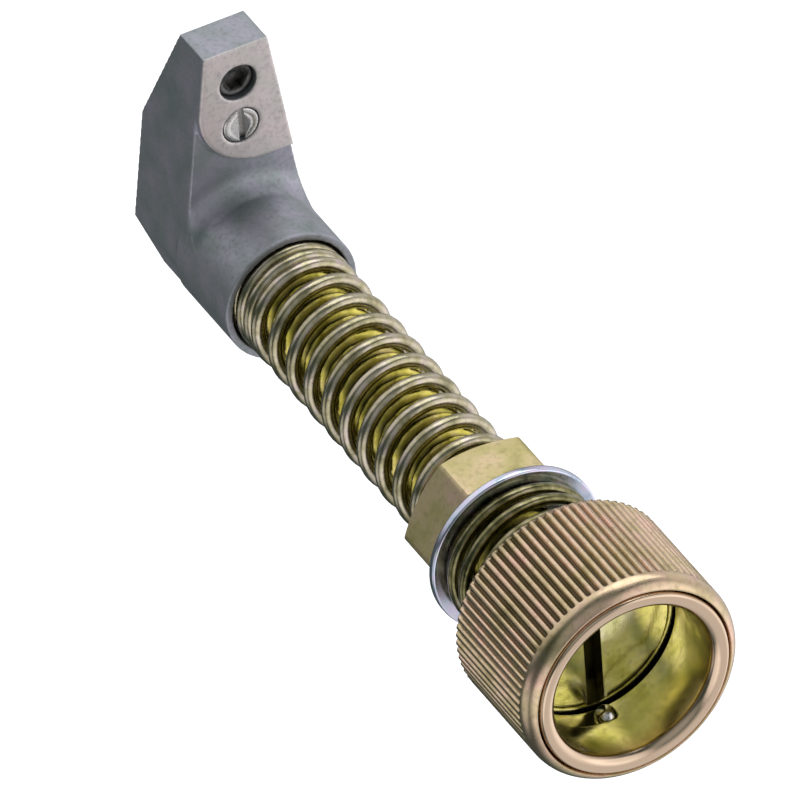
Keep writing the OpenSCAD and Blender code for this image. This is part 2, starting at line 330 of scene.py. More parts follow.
def socket_piece():
    high = span("socket_body")[1]
    bore, wall, nose = 11.0, 13.0, 13.3
    floor_x = span("slotted_plug")[0].x
    floor_back = span("slotted_plug")[1].x
    hub, thread, hub_start = 7.5, 5.9, 16
    straight, gallery, undercut, undercut_length, plug_seat = 6.4, 11.4, 12.0, 0.7, 10.95
    ring_low, ring_high = span("retaining_ring")
    ring_depth = 0.5
    ball_x, ball_hole = 8, 1.55
    mouth = [
        (0.3 - 1.4 * math.cos(math.radians(a)), 12.6 - 1.6 * math.sin(math.radians(a)))
        for a in range(0, 91, 6)
    ]
    lip = [(-0.3, nose), (-0.68, 13.25), (-0.95, 13.1), (-1.07, 12.9)]
    inside = soft_corners(
        [
            (straight, bore),
            (straight, gallery),
            (floor_x - undercut_length, gallery),
            (floor_x - undercut_length, undercut),
            (floor_x, undercut),
            (floor_x, plug_seat),
            (floor_back, plug_seat),
            (floor_back, thread),
            (high.x, thread),
            (high.x, hub),
            (hub_start, hub),
            (hub_start, wall),
            (ring_high.x, wall),
            (ring_high.x, wall - ring_depth),
            (ring_low.x, wall - ring_depth),
            (ring_low.x, wall),
        ],
        0.12,
        2,
    )
    collar = [(1.2, wall), (0.6, nose), (0.3, nose)]
    piece = turned("socket_tube", mouth + [(3.0, bore)] + inside + collar + lip, 192)
    for turn in (-90, 30, 150):
        out = Vector((0, math.cos(math.radians(turn)), math.sin(math.radians(turn))))
        drill = round_outline(ball_hole, 32)
        combine(piece, prism(Vector((ball_x, 0, 0)) + out * 9, out * 5, (1, 0, 0), drill))
    shade(piece, 35)
    return piece


socket = socket_piece()
# Marks the rolled rim for the pale tint, which is partly a painted highlight.
mark(socket, "rim", lambda x, y, z: max(0.0, min(1.0, (1.3 - x) / 1.2)))
# Painted shade: marks the groove just in front of the floor, to be painted dark.
mark(socket, "painted_recess_shade", lambda x, y, z: float(9.6 < x < 10.6 and math.hypot(y, z) > 11.1))
dress(socket, "stem", "yellow_zinc", yellow_zinc, "socket_body")


# ---- Slotted plug ----
# The turned steel disc screwed into the tube as the socket's floor. A tongue on the handle's spigot
# drops into its slot, so that the handle can't turn in the socket.


def bevel_edges(piece, width_mm, angle_deg=40):
    edge = piece.modifiers.new("edge", "BEVEL")
    edge.width = width_mm * MM
    edge.segments = 2
    edge.angle_limit = math.radians(angle_deg)


def plug_piece():
    low, high = span("slotted_plug")
    slot_half, slot_depth, stem_x = 1.2, 2.2, span("stem")[0].x
    rim, thread = 10.95, 5.9
    outline = [(low.x, 0), (low.x, rim), (high.x, rim), (high.x, thread), (stem_x, thread), (stem_x, 0)]
    piece = turned("slotted_floor", soft_corners(outline, 0.3), 160)
    slot = [(-1, -slot_half), (slot_depth, -slot_half), (slot_depth, slot_half), (-1, slot_half)]
    combine(piece, prism((low.x, 0, -12), (0, 0, 24), (1, 0, 0), slot))
    shade(piece, 35)
    bevel_edges(piece, 0.25, 50)
    return piece


plug = plug_piece()
# Painted shade: marks the slot in the plug, to be painted dark.
mark(plug, "painted_recess_shade", lambda x, y, z: float(abs(y) < 1.3 and x > 10.7))
dress(plug, "stem", "yellow_zinc", yellow_zinc, "slotted_plug")


# ---- Retaining ring and locking balls ----
# A black spring steel ring in the tube's groove stops the sleeve. Three polished bearing balls sit
# in the tube's holes under the sleeve and lock the handle.


def black_oxide_steel():
    """Black oxide on steel: dark in shade, satin grey in light, paler where it has been handled."""
    material, tree, shader, place = fresh_material("black_oxide_steel")
    patch = add(tree, "ShaderNodeTexNoise", {"Vector": place, "Scale": 1 / (0.9 * MM), "Detail": 4.0})
    tint = add(tree, "ShaderNodeValToRGB", {"Fac": patch}, stops=[(0.3, "#48494C"), (0.7, "#74726E")])
    tree.links.new(tint.outputs[0], shader.inputs["Base Color"])
    gloss = add(
        tree,
        "ShaderNodeMapRange",
        {"Value": patch, "From Min": 0.3, "From Max": 0.7, "To Min": 0.34, "To Max": 0.5},
    )
    tree.links.new(gloss.outputs[0], shader.inputs["Roughness"])
    bump = add(tree, "ShaderNodeBump", {"Height": patch, "Distance": 0.02 * MM, "Strength": 0.5})
    tree.links.new(bump.outputs[0], shader.inputs["Normal"])
    return material


def ground_steel(name, rough):
    """Bare ground steel: close grained and bright, with a short streak along X."""
    material, tree, shader, place = fresh_material(name)
    streak = add(tree, "ShaderNodeMapping", {"Vector": place, "Scale": (1, 5, 5)})
    grain = add(tree, "ShaderNodeTexNoise", {"Vector": streak, "Scale": 1 / (0.9 * MM), "Detail": 4.0})
    tint = add(tree, "ShaderNodeValToRGB", {"Fac": grain}, stops=[(0.3, "#A9A8A6"), (0.7, "#D0CFCC")])
    tree.links.new(tint.outputs[0], shader.inputs["Base Color"])
    gloss = add(
        tree,
        "ShaderNodeMapRange",
        {"Value": grain, "From Min": 0.3, "From Max": 0.7, "To Min": 0.8 * rough, "To Max": 1.3 * rough},
    )
    tree.links.new(gloss.outputs[0], shader.inputs["Roughness"])
    bump = add(tree, "ShaderNodeBump", {"Height": grain, "Distance": 0.004 * MM, "Strength": 0.5})
    tree.links.new(bump.outputs[0], shader.inputs["Normal"])
    return material


black_oxide = black_oxide_steel()
bearing_steel = ground_steel("polished_bearing_steel", 0.08)


def ring_piece(name, node, outer, inner, corner=0.2):
    """A plain turned ring that fills its node from front to back."""
    low, high = span(node)
    outline = [(low.x, inner), (low.x, outer), (high.x, outer), (high.x, inner)]
    return turned(name, soft_corners(outline, corner), 160)


stop_ring = ring_piece("sleeve_stop_ring", "retaining_ring", 13.3, 12.5)
dress(stop_ring, "stem", "dark_steel", black_oxide, "retaining_ring")


def ball_piece(number):
    low, high = span(f"locking_ball_{number}")
    centre = (low + high) / 2
    radius = (high.x - low.x) / 2
    steps = 24
    verts = []
    for i in range(steps + 1):
        tilt = math.pi * i / steps
        for k in range(2 * steps):
            spin = math.pi * k / steps
            side = Vector((0, math.cos(spin), math.sin(spin)))
            verts.append(centre + (Vector((1, 0, 0)) * math.cos(tilt) + side * math.sin(tilt)) * radius)
    piece = build_mesh(f"lock_ball_{number}", verts, grid_faces(steps + 1, 2 * steps))
    shade(piece, 180)
    return piece


for number in (1, 2, 3):
    dress(ball_piece(number), f"ball_{number}", "bright_steel", bearing_steel, f"locking_ball_{number}")


# ---- Knurled sleeve ----
# A turned steel sleeve that slides back over the tube to free the balls. Its grip is rolled with
# straight grooves that run out on the round nose. The passivation on it came out pinkish beige.
KNURL_COUNT = 76
KNURL_DEPTH = 0.55
KNURL_START = 1.5
KNURL_END = 17.9


def groove_share(x, share):
    """0 on a crest and 1 in the bottom of a groove, running out at both ends of the grip."""
    place = abs((share * KNURL_COUNT) % 1 - 0.5) * 2
    slope = max(0.0, min(1.0, (0.72 - place) / 0.58))
    run_out = max(0.0, min(1.0, (x - KNURL_START) / 0.6, (KNURL_END + 0.3 - x) / 0.3))
    return slope * slope * (3 - 2 * slope) * run_out


def knurl_radius(x, r, share):
    return r - KNURL_DEPTH * groove_share(x, share) if r > 14 and x > KNURL_START else r


def arc(centre, radius, start_deg, end_deg, steps):
    """Points of an arc round an (x, r) centre. 0 degrees is +x and 90 degrees is outward."""
    angles = [math.radians(start_deg + (end_deg - start_deg) * k / steps) for k in range(steps + 1)]
    return [(centre[0] + radius * math.cos(a), centre[1] + radius * math.sin(a)) for a in angles]


def sleeve_piece():
    low, high = span("knurled_sleeve")
    outer, nose, lip, bore = high.y, 2.4, 13.37, 13.07
    lip_end, pocket_start, pocket_end, pocket = 3.65, 4.1, 8.0, 13.75
    back_wall, hole = 16.3, 8.1
    front = arc((low.x + nose, outer - nose), nose, 90, 152, 16)
    front += [(-0.7, 13.6), (-0.45, 13.46), (-0.1, 13.39)]
    inside = soft_corners(
        [
            (lip_end, lip),
            (lip_end, bore),
            (pocket_start, bore),
            (pocket_start, pocket),
            (pocket_end, bore),
            (back_wall, bore),
            (back_wall, hole),
        ],
        0.1,
        2,
    )
    back = [(high.x - 0.15, hole), (high.x, hole + 0.15), (high.x, 14.1), (high.x - 0.1, 14.3)]
    back += [(high.x - 0.62, 14.84), (high.x - 0.75, 14.95)]
    rows = 26
    grip = [(KNURL_END - (KNURL_END - KNURL_START - 0.6) * k / rows, outer) for k in range(rows + 1)]
    grip += [(KNURL_START + 0.6 - 0.1 * k, outer) for k in range(1, 6)] + [(KNURL_START, outer)]
    piece = turned(
        "knurled_grip", front + [(0.4, lip)] + inside + back + grip, KNURL_COUNT * 12, knurl_radius, 60
    )

    # Depth into the knurl, which the material paints dark as shade.
    def groove(x, y, z):
        depth = outer - math.hypot(y, z)
        return depth / KNURL_DEPTH if KNURL_START < x < KNURL_END and depth < 1 else 0.0

    mark(piece, "groove", groove)
    return piece


# The pinkish film is rubbed pale on the crests, and every groove is painted dark as shade.
grip_zinc = passivated_zinc(
    "pink_passivated_zinc",
    [(0.3, "#A69670"), (0.7, "#D8B6A0"), (0.42, "#C4B28C"), (0.56, "#CFB79A")],
    rough=0.27,
    drift_mm=4.0,
    ring_mm=0.3,
    ring_depth_mm=0.0015,
)
# Painted shade: the knurl's grooves turn dark olive by their depth.
mix_by(grip_zinc, "groove", 0.4, 1.05, "#37331F")
dress(sleeve_piece(), "sleeve", "sleeve_metal", grip_zinc, "knurled_sleeve")


# ---- Thrust ring and return spring ----
# A blue white plated ring behind the sleeve carries the short wide spring that pushes the sleeve
# home. The spring is wound from round steel wire and passivated like the long one.


def blue_zinc_plate():
    """Zinc plate with a clear blue passivation: silver, cold, and faintly rainbow in places."""
    material, tree, shader, place = fresh_material("blue_white_zinc_plate")
    drift = add(tree, "ShaderNodeTexNoise", {"Vector": place, "Scale": 1 / (2.5 * MM), "Detail": 3.0})
    stops = [(0.3, "#A3B2C4"), (0.7, "#CBDAD4"), (0.45, "#C3CCDA"), (0.58, "#D3CCE2")]
    tint = add(tree, "ShaderNodeValToRGB", {"Fac": drift}, stops=stops)
    tree.links.new(tint.outputs[0], shader.inputs["Base Color"])
    gloss = add(
        tree,
        "ShaderNodeMapRange",
        {"Value": drift, "From Min": 0.3, "From Max": 0.7, "To Min": 0.16, "To Max": 0.26},
    )
    tree.links.new(gloss.outputs[0], shader.inputs["Roughness"])
    fine = add(tree, "ShaderNodeTexNoise", {"Vector": place, "Scale": 1 / (0.4 * MM), "Detail": 3.0})
    bump = add(tree, "ShaderNodeBump", {"Height": fine, "Distance": 0.01 * MM, "Strength": 0.5})
    tree.links.new(bump.outputs[0], shader.inputs["Normal"])
    return material


blue_zinc = blue_zinc_plate()
thrust_washer = ring_piece("thrust_washer", "thrust_ring", 11.2, 8.2)
dress(thrust_washer, "thrust", "silver_zinc", blue_zinc, "thrust_ring")


def spring_piece(name, node, wire, first_turns, last_turns, open_turns, phase):
    """A coil spring that fills its node. Its end coils lie close together and are ground flat."""
    low, high = span(node)
    mean = (high.y - low.y) / 2 - wire / 2
    closed = 1.02 * wire
    length = high.x - low.x - 0.6 * wire
    pitch = (length - (first_turns + last_turns) * closed) / open_turns
    total = first_turns + open_turns + last_turns
    per_turn, sides, ease = 48, 20, 0.35
    rings = round(total * per_turn)
    heights = [0.0]
    for i in range(rings):
        turn = (i + 0.5) * total / rings
        into = max(0.0, min(1.0, (turn - first_turns) / ease + 0.5))
        out_of = max(0.0, min(1.0, (total - last_turns - turn) / ease + 0.5))
        opened = min(into, out_of)
        opened = opened * opened * (3 - 2 * opened)
        heights.append(heights[-1] + closed + (pitch - closed) * opened)
    verts = []
    for i, height in enumerate(heights):
        turn = math.tau * total * i / rings + phase
        for k in range(sides):
            a = math.tau * k / sides
            r = mean + wire / 2 * math.cos(a)
            x = low.x + 0.3 * wire + length * height / heights[-1] + wire / 2 * math.sin(a)
            verts.append((max(low.x, min(high.x, x)), r * math.cos(turn), r * math.sin(turn)))
    faces = grid_faces(rings + 1, sides)
    faces += [list(range(sides)), [rings * sides + k for k in reversed(range(sides))]]
    piece = build_mesh(name, verts, faces)
    shade(piece, 60)
    return piece


# On drawn wire the film is thin: greyish beige, with long soft highlights round each coil.
spring_zinc = passivated_zinc(
    "yellow_passivated_wire",
    [(0.3, "#8B866A"), (0.7, "#C2B4AA"), (0.42, "#A69F7E"), (0.56, "#B9B19A")],
    rough=0.24,
    drift_mm=2.0,
    ring_mm=0.6,
    ring_depth_mm=0.0008,
)
# The short spring sits in shade between the washers, and that shade is painted into it as a dark olive
# film.
shade_painted_wire_zinc = passivated_zinc(
    "shade_darkened_passivated_wire",
    [(0.3, "#4E4C36"), (0.7, "#9A9078"), (0.42, "#6B6844"), (0.56, "#85805C")],
    rough=0.2,
    drift_mm=1.5,
    ring_mm=0.6,
    ring_depth_mm=0.0008,
)
short_spring = spring_piece("sleeve_return_spring", "short_spring", 1.6, 0.75, 0.75, 2.0, 0.5)
dress(short_spring, "washer", "spring_steel", shade_painted_wire_zinc, "short_spring")
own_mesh(short_spring)


# ---- Stem ----
# One steel rod: a rolled M12 thread from the socket to the neck, then a plain 8 mm guide that the
# head slides on. Plated and yellow passivated.
THREAD_PITCH = 1.75
THREAD_END = 87.8
THREAD_CREST = 5.9
THREAD_ROOT = 5.0


def stem_piece():
    low, high = span("stem")
    guide = 4.0
    around, per_pitch = 72, 12
    row_count = int((THREAD_END - low.x) / THREAD_PITCH * per_pitch)
    rows = [low.x + THREAD_PITCH * k / per_pitch for k in range(row_count)]
    verts = []
    for x in rows:
        run_out = max(0.0, min(1.0, (THREAD_END - 0.4 - x) / 1.5, (x - low.x) / 0.8))
        for k in range(around):
            a = math.tau * k / around
            phase = ((x / THREAD_PITCH) - k / around) % 1
            flank = max(0.0, min(1.0, (abs(phase - 0.5) * 2 - 0.14) / 0.7))
            r = THREAD_CREST - (THREAD_CREST - THREAD_ROOT) * flank
            r = min(r, THREAD_ROOT + (THREAD_CREST - THREAD_ROOT) * run_out)
            verts.append((x, r * math.cos(a), r * math.sin(a)))
    tail = [(THREAD_END, THREAD_ROOT - 0.2), (THREAD_END, guide)]
    tail += [(high.x - 0.4, guide), (high.x, guide - 0.4)]
    for x, r in tail:
        verts += [(x, y, z) for y, z in round_outline(r, around)]
    count = len(rows) + len(tail)
    faces = grid_faces(count, around)
    faces += [list(reversed(range(around))), [(count - 1) * around + k for k in range(around)]]
    piece = build_mesh("threaded_stem", verts, faces)
    shade(piece, 40)
    return piece


# On the thread the film is thick and yellow on the crests, and the roots are painted near black as shade.
thread_zinc = passivated_zinc(
    "yellow_passivated_thread",
    [(0.3, "#A0983E"), (0.7, "#CDBB78"), (0.42, "#BDB250"), (0.56, "#CABE66")],
    rough=0.3,
    drift_mm=2.0,
    ring_mm=1.2,
    ring_depth_mm=0.0,
)
# Painted shade: the thread's roots turn near black by their depth.
mix_by(thread_zinc, "root", 0.4, 0.95, "#1E1C10")
stem = stem_piece()


def thread_root_shade(x, y, z):
    return (THREAD_CREST - math.hypot(y, z)) / (THREAD_CREST - THREAD_ROOT) if x < THREAD_END else 0.0


mark(stem, "root", thread_root_shade)
dress(stem, "stem", "yellow_zinc", thread_zinc, "stem")


# ---- Adjuster washer and nut ----
# A plain stamped washer, blue white plated, and a hexagon nut chamfered on both faces. Turning the
# nut along the thread sets the long spring's pressure.
nut_washer = ring_piece("nut_washer", "adjuster_washer", 11.8, 6.3, 0.35)
dress(nut_washer, "washer", "silver_zinc", blue_zinc, "adjuster_washer")


def hexagon_radius(turn_deg, flats, corner):
    """The radius of a hexagon with rounded corners, at an angle from one of its corners."""
    off = math.radians((turn_deg + 30) % 60 - 30)
    far = (flats / 2 - corner) / math.cos(math.radians(30))
    reach = math.atan2(corner * 0.5, far + corner * math.cos(math.radians(30)))
    if abs(off) < reach:
        return far * math.cos(off) + math.sqrt(corner**2 - (far * math.sin(off)) ** 2)
    return flats / 2 / math.cos(math.radians(30) - abs(off))


def nut_piece():
    low, high = span("adjuster_nut")
    flats, hole, face = 19.0, 5.97, 9.4
    slope, soft, corner_turn = math.tan(math.radians(30)), 0.12, 2
    steps = 6 * 40
    verts = []
    for k in range(steps):
        turn = 360 * k / steps
        a = math.radians(turn + corner_turn)
        r = hexagon_radius(turn, flats, 0.45)
        drop = max(0.0, r - face) * slope
        front = [
            (low.x + 0.5, hole),
            (low.x, hole + 0.5),
            (low.x, face - 0.3),
            (low.x + 0.02, face - 0.05),
            (low.x + drop - soft * slope + 0.03, r - soft),
            (low.x + drop + 0.05, r - 0.02),
            (low.x + drop + soft + 0.05, r),
            (low.x + 3, r),
        ]
        back = [(low.x + high.x - x, rr) for x, rr in reversed(front)]
        verts += [(x, rr * math.cos(a), rr * math.sin(a)) for x, rr in front + back]
    piece = build_mesh("pressure_nut", verts, grid_faces(steps, 16, closed_rows=True))
    shade(piece, 25)
    even = piece.modifiers.new("even_faces", "WEIGHTED_NORMAL")
    even.keep_sharp = True
    return piece


# The nut is barrel plated: duller, and mottled from olive to pinkish beige.
nut_zinc = passivated_zinc(
    "nut_passivated_zinc",
    [(0.3, "#A39A68"), (0.7, "#D6B8A0"), (0.42, "#BDB27C"), (0.56, "#CDBB92")],
    rough=0.36,
    drift_mm=5.0,
    ring_mm=0.6,
    ring_depth_mm=0.002,
)
dress(nut_piece(), "nut", "nut_metal", nut_zinc, "adjuster_nut")


# ---- Pressure spring ----
# The long coil spring that loads the head, wound from 1.9 mm wire, with closed coils at the neck. It
# runs from the nut's back face to the seat ring in the neck.
long_spring = spring_piece("pressure_spring", "long_spring", 1.9, 1.0, 3.8, 9.0, 0.0)
dress(long_spring, "washer", "spring_steel", spring_zinc, "long_spring")
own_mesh(long_spring)


# ---- Head block ----
# One block of fine cast steel with its round neck. The front pad, the groove for the wheel's carrier
# and the bores are milled after casting, and every outside edge is tumbled soft.


def drawn_x(x0, x1, outline):
    """A tool: an outline of (y, z) points from x0 to x1."""
    return prism((x0, 0, 0), (x1 - x0, 0, 0), (0, 1, 0), outline)


def tumbled_block():
    low, high = span("head_block")
    front_x, top, foot = 100.4, high.z, low.z
    half, foot_half, top_half = 9.0, 5.4, 4.55
    front = [
        (-foot_half, foot),
        (foot_half, foot),
        (half, 0),
        (top_half, top),
        (-top_half, top),
        (-half, 0),
    ]
    slant_foot, slant_top = 15.7, 105.9
    side = [(front_x, foot), (high.x, foot), (high.x, slant_foot), (slant_top, top), (front_x, top)]
    side_tool = [(x, -z) for x, z in side]
    block = drawn_x(front_x - 1.4, high.x + 1, front)
    combine(block, prism((0, -12, 0), (0, 24, 0), (1, 0, 0), side_tool), "INTERSECT")

    pad_foot, corner, corner_y = 14.2, 8.8, -3.0
    bend = arc((corner_y, pad_foot + corner), corner, -90, 0, 18)
    pad = drawn_x(front_x - 1, front_x + 1, [(-12, pad_foot)] + bend + [(5.8, top), (-12, top)])
    combine(pad, drawn_x(front_x - 2, front_x + 2, front), "INTERSECT")
    combine(block, pad, "UNION")

    neck_r, root, sunk = 9.3, 3.0, 0.05
    curve = arc((front_x - root, neck_r - sunk + root), root, -90, 0, 10)
    fillet_back = front_x + 0.5
    outline = [(front_x - root, 0)] + curve + [(fillet_back, neck_r + root), (fillet_back, 0)]
    fillet = turned("fillet", outline)
    fillet.modifiers.clear()
    trim = [(0.996 * y, 0.996 * z) for y, z in front]
    combine(fillet, drawn_x(front_x - root - 1, front_x + 1, trim), "INTERSECT")
    combine(block, fillet, "UNION")
    combine(block, drawn_x(low.x, front_x + 2, round_outline(neck_r, 160)), "UNION")

    # The spring's counterbore, the bush's seat, the stem's passage and the pocket in the back face
    pocket_x = 108.5
    for x0, x1, r in ((87, 93.2, 8.3), (92, 104, 5.6), (103, 109, 4.4), (pocket_x, 116, 5.9)):
        combine(block, drawn_x(x0, x1, round_outline(r, 96)))
    for screw in ("carrier_screw", "slotted_screw"):
        screw_low, screw_high = span(screw)
        start = Vector((98, 0, (screw_low.z + screw_high.z) / 2))
        floor = 101.85
        combine(block, prism(start, (floor - start.x, 0, 0), (0, 1, 0), round_outline(2.6, 48)))
    key = span("key_screw")[0]
    combine(block, prism((106.2, 0, key.z - 2), (0, 0, 5), (1, 0, 0), round_outline(2.0)))

    tilt = math.atan2(high.x - slant_top, top - slant_foot)
    out = Vector((math.cos(tilt), 0, math.sin(tilt)))
    along = Vector((-math.sin(tilt), 0, math.cos(tilt)))
    wheel_low, wheel_high = span("cutting_wheel")
    middle = (wheel_low + wheel_high) / 2
    reach, width, depth = 7.5, 2.5, 4.1
    groove = [(-reach, -width), (reach, -width), (reach, width), (-reach, width)]
    combine(block, prism(middle - out * depth, out * 9, along, groove))
    return block


def soften(block):
    """Small even faces all over, then smoothed, so that each edge rounds like a tumbled one."""
    skin = block.modifiers.new("skin", "REMESH")
    skin.mode = "VOXEL"
    skin.voxel_size = 0.18 * MM
    smooth = block.modifiers.new("smooth", "SMOOTH")
    smooth.factor = 0.5
    smooth.iterations = 4
    graph = bpy.context.evaluated_depsgraph_get()
    mesh = bpy.data.meshes.new_from_object(block.evaluated_get(graph))
    block.modifiers.clear()
    block.data = mesh
    mesh.shade_smooth()
    block.name = "cutter_head"
    mark(block, "milled", lambda x, y, z: max(0.0, min(1.0, (99.75 - x) / 0.2)) if z > 13.5 else 0.0)


def cast_steel():
    """Fine cast steel, blasted and clear passivated: matt grey that drifts from greenish to violet,
    with a fine orange peel. Where the milled attribute is 1, it is the brighter and warmer cut face."""
    material, tree, shader, place = fresh_material("blasted_cast_steel")
    cloud = add(tree, "ShaderNodeTexNoise", {"Vector": place, "Scale": 1 / (4 * MM), "Detail": 4.0})
    cast = add(
        tree,
        "ShaderNodeValToRGB",
        {"Fac": cloud},
        stops=[(0.3, "#929B99"), (0.7, "#ADABB6"), (0.5, "#9FA3A8")],
    )
    cut_face = add(
        tree,
        "ShaderNodeValToRGB",
        {"Fac": cloud},
        stops=[(0.3, "#C6C4BE"), (0.7, "#DBCFCF"), (0.5, "#D2CCC9")],
    )
    milled = add(tree, "ShaderNodeAttribute", attribute_name="milled").outputs["Fac"]
    base = add(
        tree, "ShaderNodeMix", {0: milled, 6: cast.outputs[0], 7: cut_face.outputs[0]}, data_type="RGBA"
    )
    speck = add(tree, "ShaderNodeTexNoise", {"Vector": place, "Scale": 1 / (0.6 * MM), "Detail": 4.0})
    dust = add(
        tree, "ShaderNodeMapRange", {"Value": speck, "From Min": 0.5, "From Max": 0.75, "To Max": 0.3}
    )
    speckled = add(
        tree, "ShaderNodeMix", {0: dust, 6: base.outputs[2], 7: linear("#74767A")}, data_type="RGBA"
    )
    tree.links.new(speckled.outputs[2], shader.inputs["Base Color"])
    gloss = add(
        tree,
        "ShaderNodeMapRange",
        {"Value": speck, "From Min": 0.3, "From Max": 0.7, "To Min": 0.5, "To Max": 0.62},
    )
    tree.links.new(gloss.outputs[0], shader.inputs["Roughness"])
    peel = add(tree, "ShaderNodeBump", {"Height": speck, "Distance": 0.05 * MM, "Strength": 0.5})
    tree.links.new(peel.outputs[0], shader.inputs["Normal"])
    return material


blasted_steel = cast_steel()
head = tumbled_block()
soften(head)
dress(head, "head", "grey_steel", blasted_steel, "head_block")


# ---- Screws of the head ----
# A black socket screw sits deep in the upper hole and a bright slotted screw fills the lower one.
# Both hold the wheel's carrier from behind. A dog point screw from below keeps the head from turning.
slot_steel = ground_steel("ground_steel", 0.3)


def keep_cad(node, material, bevel_mm):
    """A CAD node whose shape is right gets its material and softened edges."""
    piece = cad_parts[node]
    piece.data.materials.clear()
    piece.data.materials.append(material)
    bevel_edges(piece, bevel_mm)


def screw_piece(name, node, head_back, shank, recess):
    low, high = span(node)
    cap = 2.5
    outline = [(low.x, 0), (low.x, cap), (head_back, cap), (head_back, shank), (high.x, shank), (high.x, 0)]
    piece = turned(name, soft_corners(outline, 0.3), 72)
    combine(piece, recess)
    shade(piece, 35)
    lift = (low.z + high.z) / 2 * MM
    for vertex in piece.data.vertices:
        vertex.co.z += lift
    return piece


socket_face = span("carrier_screw")[0].x
hexagon = prism((socket_face - 1, 0, 0), (2.1, 0, 0), (0, 1, 0), round_outline(1.44, 6))
dress(
    screw_piece("carrier_socket_screw", "carrier_screw", 101.8, 1.5, hexagon),
    "head",
    "dark_steel",
    black_oxide,
    "carrier_screw",
)
slot_face = span("slotted_screw")[0].x
slot = prism((slot_face, 0, -4), (0, 0, 8), (1, 0, 0), [(-1, -0.4), (0.9, -0.4), (0.9, 0.4), (-1, 0.4)])
dress(
    screw_piece("carrier_slot_screw", "slotted_screw", 101.85, 1.25, slot),
    "head",
    "bright_steel",
    slot_steel,
    "slotted_screw",
)
keep_cad("key_screw", black_oxide, 0.1)


# ---- Guide bush and spring seat ----
# A sintered bronze bush pressed into the head runs on the stem. A plated steel ring in front of it
# takes the end of the pressure spring.


def sintered_bronze():
    """Oil filled sintered bronze: brown gold, open grained and dull."""
    material, tree, shader, place = fresh_material("sintered_bronze")
    grain = add(tree, "ShaderNodeTexNoise", {"Vector": place, "Scale": 1 / (0.4 * MM), "Detail": 5.0})
    tint = add(tree, "ShaderNodeValToRGB", {"Fac": grain}, stops=[(0.3, "#7A5530"), (0.7, "#B98A55")])
    tree.links.new(tint.outputs[0], shader.inputs["Base Color"])
    shader.inputs["Roughness"].default_value = 0.46
    bump = add(tree, "ShaderNodeBump", {"Height": grain, "Distance": 0.03 * MM, "Strength": 0.6})
    tree.links.new(bump.outputs[0], shader.inputs["Normal"])
    return material


stem_bush = ring_piece("stem_bush", "guide_bush", 5.6, 4.05)
dress(stem_bush, "head", "bronze", sintered_bronze(), "guide_bush")
seat_ring = ring_piece("spring_seat_ring", "spring_seat", 8.2, 4.4)
dress(seat_ring, "head", "silver_zinc", blue_zinc, "spring_seat")


# ---- End washer and screw ----
# A plated washer and a black cap screw on the end of the stem. They sit in the pocket of the head's
# back face and hold the head on the stem.
stem_end_washer = ring_piece("stem_end_washer", "end_washer", 5.5, 2.0)
dress(stem_end_washer, "stem", "silver_zinc", blue_zinc, "end_washer")


def end_screw_piece():
    low, high = span("stem_end_screw")
    seat = span("end_washer")[1].x
    shank, cap = 2, 3.5
    outline = [(low.x, 0), (low.x, shank), (seat, shank), (seat, cap), (high.x, cap), (high.x, 0)]
    piece = turned("stem_cap_screw", soft_corners(outline, 0.3), 72)
    combine(piece, prism((seat + 1, 0, 0), (3, 0, 0), (0, 1, 0), round_outline(1.732, 6)))
    shade(piece, 35)
    return piece


dress(end_screw_piece(), "stem", "dark_steel", black_oxide, "stem_end_screw")


# ---- Wheel carrier, axle and cutting wheel ----
# The carrier is a slim milled steel block in the slanted face. Its slot holds the small carbide
# wheel, ground to a sharp edge, on a bright pin.


def ground_carbide():
    """Ground tungsten carbide: dense dark grey, fine grained and softly shiny."""
    material, tree, shader, place = fresh_material("ground_carbide")
    grain = add(tree, "ShaderNodeTexNoise", {"Vector": place, "Scale": 1 / (0.3 * MM), "Detail": 3.0})
    tint = add(tree, "ShaderNodeValToRGB", {"Fac": grain}, stops=[(0.3, "#77787C"), (0.7, "#9A9BA0")])
    tree.links.new(tint.outputs[0], shader.inputs["Base Color"])
    shader.inputs["Roughness"].default_value = 0.24
    bump = add(tree, "ShaderNodeBump", {"Height": grain, "Distance": 0.004 * MM, "Strength": 0.5})
    tree.links.new(bump.outputs[0], shader.inputs["Normal"])
    return material


keep_cad("wheel_carrier", blasted_steel, 0.15)
keep_cad("wheel_axle", slot_steel, 0.1)


def wheel_piece():
    low, high = span("cutting_wheel")
    centre = (low + high) / 2
    half, rim, hub, hole = 0.55, 2.495, 1.6, 0.7
    one_side = [(half, hole + 0.05), (half, hub - 0.15), (half - 0.05, hub), (0.04, rim - 0.04)]
    outline = [(half - 0.05, hole)] + one_side + [(0, rim)]
    outline += [(-y, r) for y, r in reversed(one_side)] + [(0.05 - half, hole)]
    steps = 96
    verts = []
    for k in range(steps):
        a = math.tau * k / steps
        verts += [(centre.x + r * math.cos(a), y, centre.z + r * math.sin(a)) for y, r in outline]
    piece = build_mesh("carbide_wheel", verts, grid_faces(steps, len(outline), closed_rows=True))
    shade(piece, 30)
    return piece


dress(wheel_piece(), "wheel", "carbide", ground_carbide(), "cutting_wheel")


# ---- Studio ----
# A plain white floor far below, and soft light from over the back, from in front below and from the
# sides, broad at -Y and narrow at +Y. Small glows in front pick out the socket's rim and bore. The
# rest of the room stays dim, so that the metal has something dark to mirror.


